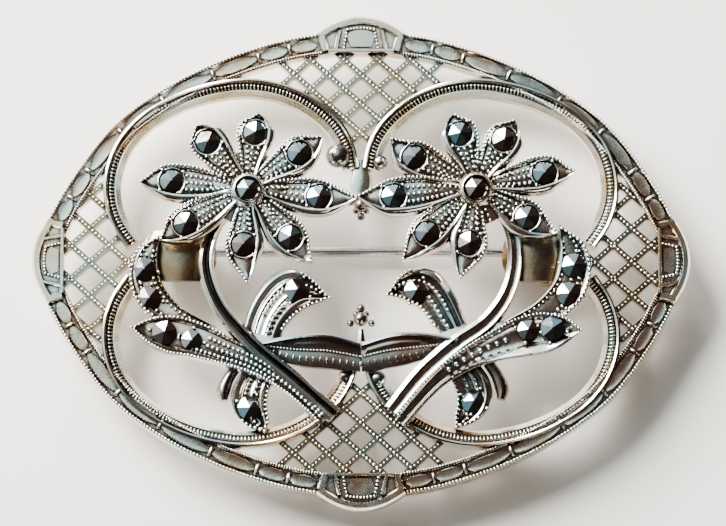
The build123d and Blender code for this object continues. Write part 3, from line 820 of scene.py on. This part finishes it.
# Outlines, as an outer and an inner edge from the base to the tip
UPPER_LEAVES = {
    "left": (
        [(-15.6, -4.6), (-16.9, -3.3), (-17.5, -1.1), (-16.95, 0.7), (-15.3, 1.8)],
        [(-10.9, -5.2), (-13.6, -3.6), (-15.0, -1.9), (-15.4, 0.1), (-15.25, 1.75)]),
    "right": (
        [(15.6, -4.3), (16.8, -3.0), (17.4, -1.1), (17.0, 1.0), (15.05, 2.6)],
        [(10.1, -4.95), (12.8, -3.45), (14.35, -1.8), (14.95, 0.5), (15.0, 2.55)]),
}
INNER_BUDS = {
    "left": (
        [(-9.0, -5.4), (-8.65, -4.1), (-7.9, -2.5), (-6.8, -1.2), (-5.5, -0.65), (-4.2, -1.2),
         (-2.35, -3.0)],
        [(-6.1, -6.2), (-5.75, -5.4), (-5.1, -4.6), (-4.5, -4.1), (-3.9, -3.75), (-3.1, -3.45),
         (-2.4, -3.1)]),
    "right": (
        [(8.0, -5.0), (7.6, -3.8), (6.75, -2.1), (5.8, -0.95), (4.6, -0.55), (3.3, -1.05),
         (1.95, -2.75)],
        [(6.0, -5.7), (5.4, -5.2), (4.9, -4.4), (4.35, -3.8), (3.75, -3.45), (2.95, -3.1),
         (2.05, -2.85)]),
}
LOWER_BUDS = {
    "left": (
        [(-8.7, -8.0), (-9.45, -9.1), (-9.85, -10.3), (-9.6, -11.6), (-8.7, -12.6), (-7.3, -13.1)],
        [(-6.0, -8.6), (-6.75, -9.5), (-7.0, -10.5), (-7.0, -11.4), (-6.9, -12.2), (-7.2, -13.05)]),
    "right": (
        [(8.9, -7.8), (9.7, -9.0), (9.95, -10.2), (9.6, -11.4), (8.7, -12.3), (7.2, -12.8)],
        [(6.6, -8.8), (6.95, -9.5), (7.2, -10.4), (7.2, -11.2), (7.05, -11.9), (7.15, -12.7)]),
}
# Places and radii of the stones: two on each upper leaf, then two on each lower leaf
LEAF_STONES = {
    "left": [
        (-16.4, -0.85, STONE), (-16.0, -3.1, STONE), (-14.8, -5.7, STONE),
        (-12.75, -6.3, SMALL_STONE)],
    "right": [
        (16.1, -0.55, STONE), (15.7, -2.75, STONE), (14.45, -5.4, STONE),
        (12.6, -5.5, SMALL_STONE)],
}
BUD_STONES = {
    "inner_bud_left": (-4.8, -2.45), "inner_bud_right": (4.2, -2.5),
    "lower_bud_left": (-8.35, -11.3), "lower_bud_right": (8.5, -10.8),
}


def stem(place):
    """A long grooved stem, bright on one ridge."""
    node = f"stem_{place}"
    section = STEM_LEFT if place == "left" else STEM_RIGHT
    body = blade(node + "_wire", STEMS[place], section, top_of(node), foot_of(node), 80)
    settle(body, spray_silver, "silver_spray", node)


def mirrored(name, leaf, section, flip, top, foot):
    """A sheet whose section runs from the other edge when flip is over 0."""
    if flip > 0:
        leaf, section = leaf[::-1], section[::-1]
    return sheet(name, leaf, section, top, foot)


def upper_leaf(place, flip):
    """A leaf with a smooth rim on its inner side over a deep wall, and milgrain outside."""
    node = f"upper_leaf_{place}"
    top = top_of(node)
    outer, inner = UPPER_LEAVES[place]
    leaf = strip_between(inner, outer, 60)
    parts = [mirrored(node, leaf, LEAF, flip, top, foot_of(node) + FOOT_GAP)]
    grains = grains_along(lane(leaf, 1, 0.14), top, 0.17, 0.36, 0.0, 0.96)
    for place_across in (-0.45, 0.5):
        grains += grains_along(lane(leaf, place_across), top - 0.14, 0.14, 0.42, 0.1, 0.85)
    for x, y, radius in LEAF_STONES[place][:2]:
        grains += setting(x, y, top - 0.05, radius, 0.6)
    parts.append(copies("grains", bead, grains))
    settle(joined(node + "_blade", parts), spray_silver, "silver_spray", node)


# Rows of grains on the lower leaves: place across, inset, drop from the top, radius, pitch, and
# the shares of the leaf's length where the row starts and ends
LOWER_LEAF_ROWS = {
    "left": [
        (1, 0.13, 0.0, 0.14, 0.3, 0.0, 0.42), (-1, 0.13, 0.0, 0.13, 0.26, 0.0, 0.98),
        (0.35, 0.0, 0.08, 0.17, 0.38, 0.36, 0.97), (-0.1, 0.0, 0.06, 0.18, 0.38, 0.36, 0.97),
        (-0.5, 0.0, 0.1, 0.15, 0.34, 0.3, 0.7)],
    "right": [
        (-1, 0.12, 0.02, 0.13, 0.28, 0.0, 0.98), (1, 0.02, 0.12, 0.12, 0.22, 0.03, 0.98),
        (-0.1, 0.0, 0.2, 0.2, 0.62, 0.36, 0.66)],
}


def lower_leaf(place):
    """A dished leaf with milgrain edges and a long tail; the right one has a broad smooth rim."""
    node = f"lower_leaf_{place}"
    top = top_of(node)
    foot = foot_of(node) + 2 * FOOT_GAP
    leaf = strip_of(LOWER_LEAVES[place], 90)
    section = BROAD_LEAF if place == "right" else LEAF
    parts = [sheet(node, leaf, section, top, foot, 0.8)]
    grains = []
    for x, y, radius in LEAF_STONES[place][2:]:
        grains += setting(x, y, top - 0.1, radius, 0.6)
    for across_at, inset, drop, radius, pitch, start, end in LOWER_LEAF_ROWS[place]:
        grains += grains_along(lane(leaf, across_at, inset), top - drop, radius, pitch, start, end)
    parts.append(copies("grains", bead, grains))
    settle(joined(node + "_blade", parts), spray_silver, "silver_spray", node)


def bud(node, edges, flip):
    """A bud: a heavy smooth ridge outside, finer ridges inside, milgrain on the other edge."""
    top = top_of(node)
    leaf = strip_between(*edges, 50)
    parts = [mirrored(node, leaf, BUD, flip, top, foot_of(node) + 3 * FOOT_GAP)]
    grains = grains_along(lane(leaf, 1, 0.13), top, 0.16, 0.34, 0.15, 1.0)
    grains += grains_along(lane(leaf, -1, 0.13), top + 0.02, 0.15, 0.33, 0.72, 1.0)
    grains += grains_along(lane(leaf, 0.3), top - 0.06, 0.18, 0.42, 0.05, 0.4)
    grains += grains_along(lane(leaf, -0.2), top - 0.02, 0.14, 0.38, 0.2, 0.95)
    x, y = BUD_STONES[node]
    grains += setting(x, y, top - 0.02, STONE, 0.3)
    parts.append(copies("grains", bead, grains))
    settle(joined(node + "_blade", parts), spray_silver, "silver_spray", node)
    gem = copies(f"marcasite_{node}_stone", stone, [stone_at(x, y, top - 0.06, STONE, 0.5)])
    settle(gem, marcasite, "marcasite", f"marcasite_{node}")


ROUND = [
    (-1, -0.6), (-0.9, -0.22), (-0.6, 0.0), (-0.2, 0.1), (0.2, 0.1), (0.6, 0.0), (0.9, -0.22),
    (1, -0.6),
]
TIE_PANEL = [
    (-1, -0.7), (-0.96, -0.52), (-0.05, -0.38), (0.04, -0.42), (0.6, -0.24), (0.7, -0.1),
    (0.86, -0.04), (0.96, -0.12), (1, -0.5),
]
# Each panel's lower and upper edge, from left to right
TIE_PAGES = [
    ([(-7.6, -7.0), (-4.8, -8.15), (-2.4, -8.4), (-0.05, -8.6)],
     [(-7.4, -6.3), (-5.0, -5.85), (-2.4, -5.75), (-0.05, -6.4)]),
    ([(0.05, -8.6), (1.6, -8.4), (3.7, -8.0), (6.6, -6.8)],
     [(0.05, -6.4), (2.4, -5.7), (5.0, -5.7), (7.4, -6.2)]),
]


def tie():
    """Two arched panels that meet at a notch, like the pages of an open book."""
    top = top_of("tie")
    foot = foot_of("tie") + 4 * FOOT_GAP
    parts = []
    grains = []
    rims = []
    for lower, upper in TIE_PAGES:
        page = strip_between(lower, upper, 36)
        parts.append(sheet("page", page, TIE_PANEL, top, foot))
        edge = [(x, y, 0.15) for x, y in lane(page, 1, 0.17)]
        rims.append(blade("rim", edge, RIDGE, top, top - 0.3, 30))
        grains += grains_along(lane(page, 0.0), top - 0.36, 0.13, 0.25)
        for x, y, angle in spots_along(lane(page, -0.5), 0.5):
            grains.append(oval(x, y, top - 0.46, angle + pi / 2, 0.3, 0.08, 0.05))
    parts.append(copies("grains", bead, grains))
    settle(joined("tie_rims", rims), spray_silver, "silver_spray")
    # The pages take the darker copy of the silver, painted shade below their bright rims
    settle(joined("tie_pages", parts), painted_shade_silver, "silver_spray", "tie")


for place, flip in (("left", 1), ("right", -1)):
    stem(place)
    upper_leaf(place, flip)
    lower_leaf(place)
    height = top_of(f"upper_leaf_{place}") - 0.1
    gems = [stone_at(x, y, height, radius, 0.3 * x) for x, y, radius in LEAF_STONES[place]]
    settle(copies(f"marcasites_leaves_{place}_stones", stone, gems), marcasite, "marcasite",
           f"marcasites_leaves_{place}")
    bud(f"inner_bud_{place}", INNER_BUDS[place], flip)
    bud(f"lower_bud_{place}", LOWER_BUDS[place], flip)
    node = f"curl_{place}"
    curl = blade(node + "_finger", CURLS[place], ROUND, top_of(node), foot_of(node), 24)
    # The curl takes the darker copy of the silver: painted shade
    settle(curl, painted_shade_silver, "silver_spray", node)
tie()

# ---------------------------------------------------------------- fittings on the back

PLATE = [
    (-1, -0.6), (-0.94, -0.42), (-0.8, -0.28), (-0.55, -0.12), (-0.3, -0.04), (-0.05, 0.0),
    (0.2, -0.02), (0.45, -0.08), (0.7, -0.2), (0.9, -0.38), (1, -0.6),
]
# Shares along a plate, and how wide it is there
PLATE_WIDTHS = ((0.0, 0.9), (0.12, 1.0), (0.88, 1.0), (1.0, 0.9))
for name in ("hinge_plate", "catch_plate"):
    low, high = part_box(name)
    middle = (low[0] + high[0]) / 2 / MM
    half = (high[0] - low[0]) / 2 / MM
    bottom, length = low[1] / MM, (high[1] - low[1]) / MM
    spine = [(middle, bottom + length * share, half * width) for share, width in PLATE_WIDTHS]
    plate = blade(name + "_sheet", spine, PLATE, top_of(name), foot_of(name), 20)
    # The plates take the darker copy of the silver: painted shade
    settle(plate, painted_shade_fitting_silver, "silver_fittings", name)

# The bracket, housing and rotor take the darker copy of the silver, painted shade; the rivet and
# the pin are steel
for name, metal in (
    ("hinge_bracket", painted_shade_fitting_silver), ("hinge_rivet", pin_steel), ("pin_stem", pin_steel),
    ("catch_housing", painted_shade_fitting_silver), ("catch_rotor", painted_shade_fitting_silver),
):
    coat(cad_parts[name], metal)

for model in (bead, ball, stone, lip):
    bpy.data.objects.remove(model)

# ---------------------------------------------------------------- floor, light and camera

FLOOR_TINT = (0.87, 0.815, 0.755, 1)
# Each lamp: its name, place, size, power and colour
LAMPS = (
    ("window", (-0.22, 0.21, 0.25), 0.26, 9.5, (1.0, 0.99, 0.97)),
    ("sky", (-0.1, 0.16, 0.32), 0.28, 0.28, (0.78, 1.0, 0.98)),
    ("fill", (0.12, -0.3, 0.45), 0.16, 0.3, (1.0, 0.93, 0.86)),
    ("glint", (-0.1, 0.4, 0.16), 0.08, 1.2, (1.0, 1.0, 1.0)),
)


def floor():
    """A plain pale surface, clear from underneath, so that the back can be looked at."""
    deselect()
    bpy.ops.mesh.primitive_plane_add(size=1.2, location=(0, 0, 0))
    ground = bpy.context.object
    ground.name = "floor"
    material = bpy.data.materials.new("pale_cloth")
    material.use_nodes = True
    nodes = material.node_tree.nodes
    links = material.node_tree.links
    shader = nodes["Principled BSDF"]
    shader.inputs["Base Color"].default_value = FLOOR_TINT
    shader.inputs["Roughness"].default_value = 0.85
    clear = nodes.new("ShaderNodeBsdfTransparent")
    side = nodes.new("ShaderNodeNewGeometry")
    mix = nodes.new("ShaderNodeMixShader")
    links.new(side.outputs["Backfacing"], mix.inputs["Fac"])
    links.new(shader.outputs["BSDF"], mix.inputs[1])
    links.new(clear.outputs["BSDF"], mix.inputs[2])
    links.new(mix.outputs["Shader"], nodes["Material Output"].inputs["Surface"])
    ground.data.materials.append(material)
    ground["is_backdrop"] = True


def softbox(name, position, size, power, colour):
    """A round soft light that points at the brooch."""
    light = bpy.data.lights.new(name, "AREA")
    light.shape = "DISK"
    light.size = size
    light.energy = power
    light.color = colour
    lamp = bpy.data.objects.new(name, light)
    lamp.location = position
    lamp.rotation_euler = (-Vector(position)).to_track_quat("-Z", "Y").to_euler()
    bpy.context.collection.objects.link(lamp)


# The room's light from its dark warm side to its bright cool side
ROOM = (
    (0.1, (0.03, 0.018, 0.014, 1)), (0.44, (0.10, 0.055, 0.042, 1)), (0.58, (0.16, 0.2, 0.2, 1)),
    (0.74, (0.42, 0.66, 0.72, 1)), (1.0, (1.6, 1.65, 1.7, 1)),
)
ROOM_STRENGTH = 0.78
BRIGHT_SIDE = (-0.62, 0.62, 0.0)


def surroundings():
    """A dim room with a bright cool side and a dark warm side, for the metal to reflect."""
    world = bpy.data.worlds.new("room")
    bpy.context.scene.world = world
    world.use_nodes = True
    nodes = world.node_tree.nodes
    links = world.node_tree.links
    place = nodes.new("ShaderNodeTexCoord")
    toward = nodes.new("ShaderNodeVectorMath")
    toward.operation = "DOT_PRODUCT"
    toward.inputs[1].default_value = BRIGHT_SIDE
    links.new(place.outputs["Generated"], toward.inputs[0])
    clutter = nodes.new("ShaderNodeTexNoise")
    clutter.inputs["Scale"].default_value = 2.6
    clutter.inputs["Detail"].default_value = 2
    links.new(place.outputs["Generated"], clutter.inputs["Vector"])
    sway = nodes.new("ShaderNodeMath")
    sway.operation = "MULTIPLY_ADD"
    sway.inputs[1].default_value = 0.8
    links.new(clutter.outputs["Fac"], sway.inputs[0])
    links.new(toward.outputs["Value"], sway.inputs[2])
    ramp = nodes.new("ShaderNodeValToRGB")
    stops = ramp.color_ramp.elements
    stops[0].position, stops[0].color = ROOM[0]
    stops[1].position, stops[1].color = ROOM[-1]
    for position, colour in ROOM[1:-1]:
        stops.new(position).color = colour
    links.new(sway.outputs["Value"], ramp.inputs["Fac"])
    links.new(ramp.outputs["Color"], nodes["Background"].inputs["Color"])
    nodes["Background"].inputs["Strength"].default_value = ROOM_STRENGTH


# The view: its lean from straight above, its distance, and how wide it reaches there
TILT = radians(11)
DISTANCE = 0.32
VIEW_WIDTH = 0.0552
SENSOR_WIDTH = 36
AIM_ASIDE = Vector((0.00015, 0, 0))


def camera():
    """The view is from nearly above, a little from the lower edge of the brooch."""
    low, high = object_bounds()
    aim = Vector([(a + b) / 2 for a, b in zip(low, high)]) + AIM_ASIDE
    data = bpy.data.cameras.new("camera")
    data.sensor_width = SENSOR_WIDTH
    data.lens = SENSOR_WIDTH * DISTANCE / VIEW_WIDTH
    eye = bpy.data.objects.new("camera", data)
    eye.location = aim + Vector((0, -sin(TILT), cos(TILT))) * DISTANCE
    eye.rotation_euler = (TILT, 0, 0)
    data.clip_start = 0.01
    bpy.context.collection.objects.link(eye)
    bpy.context.scene.camera = eye


floor()
surroundings()
for lamp in LAMPS:
    softbox(*lamp)
camera()
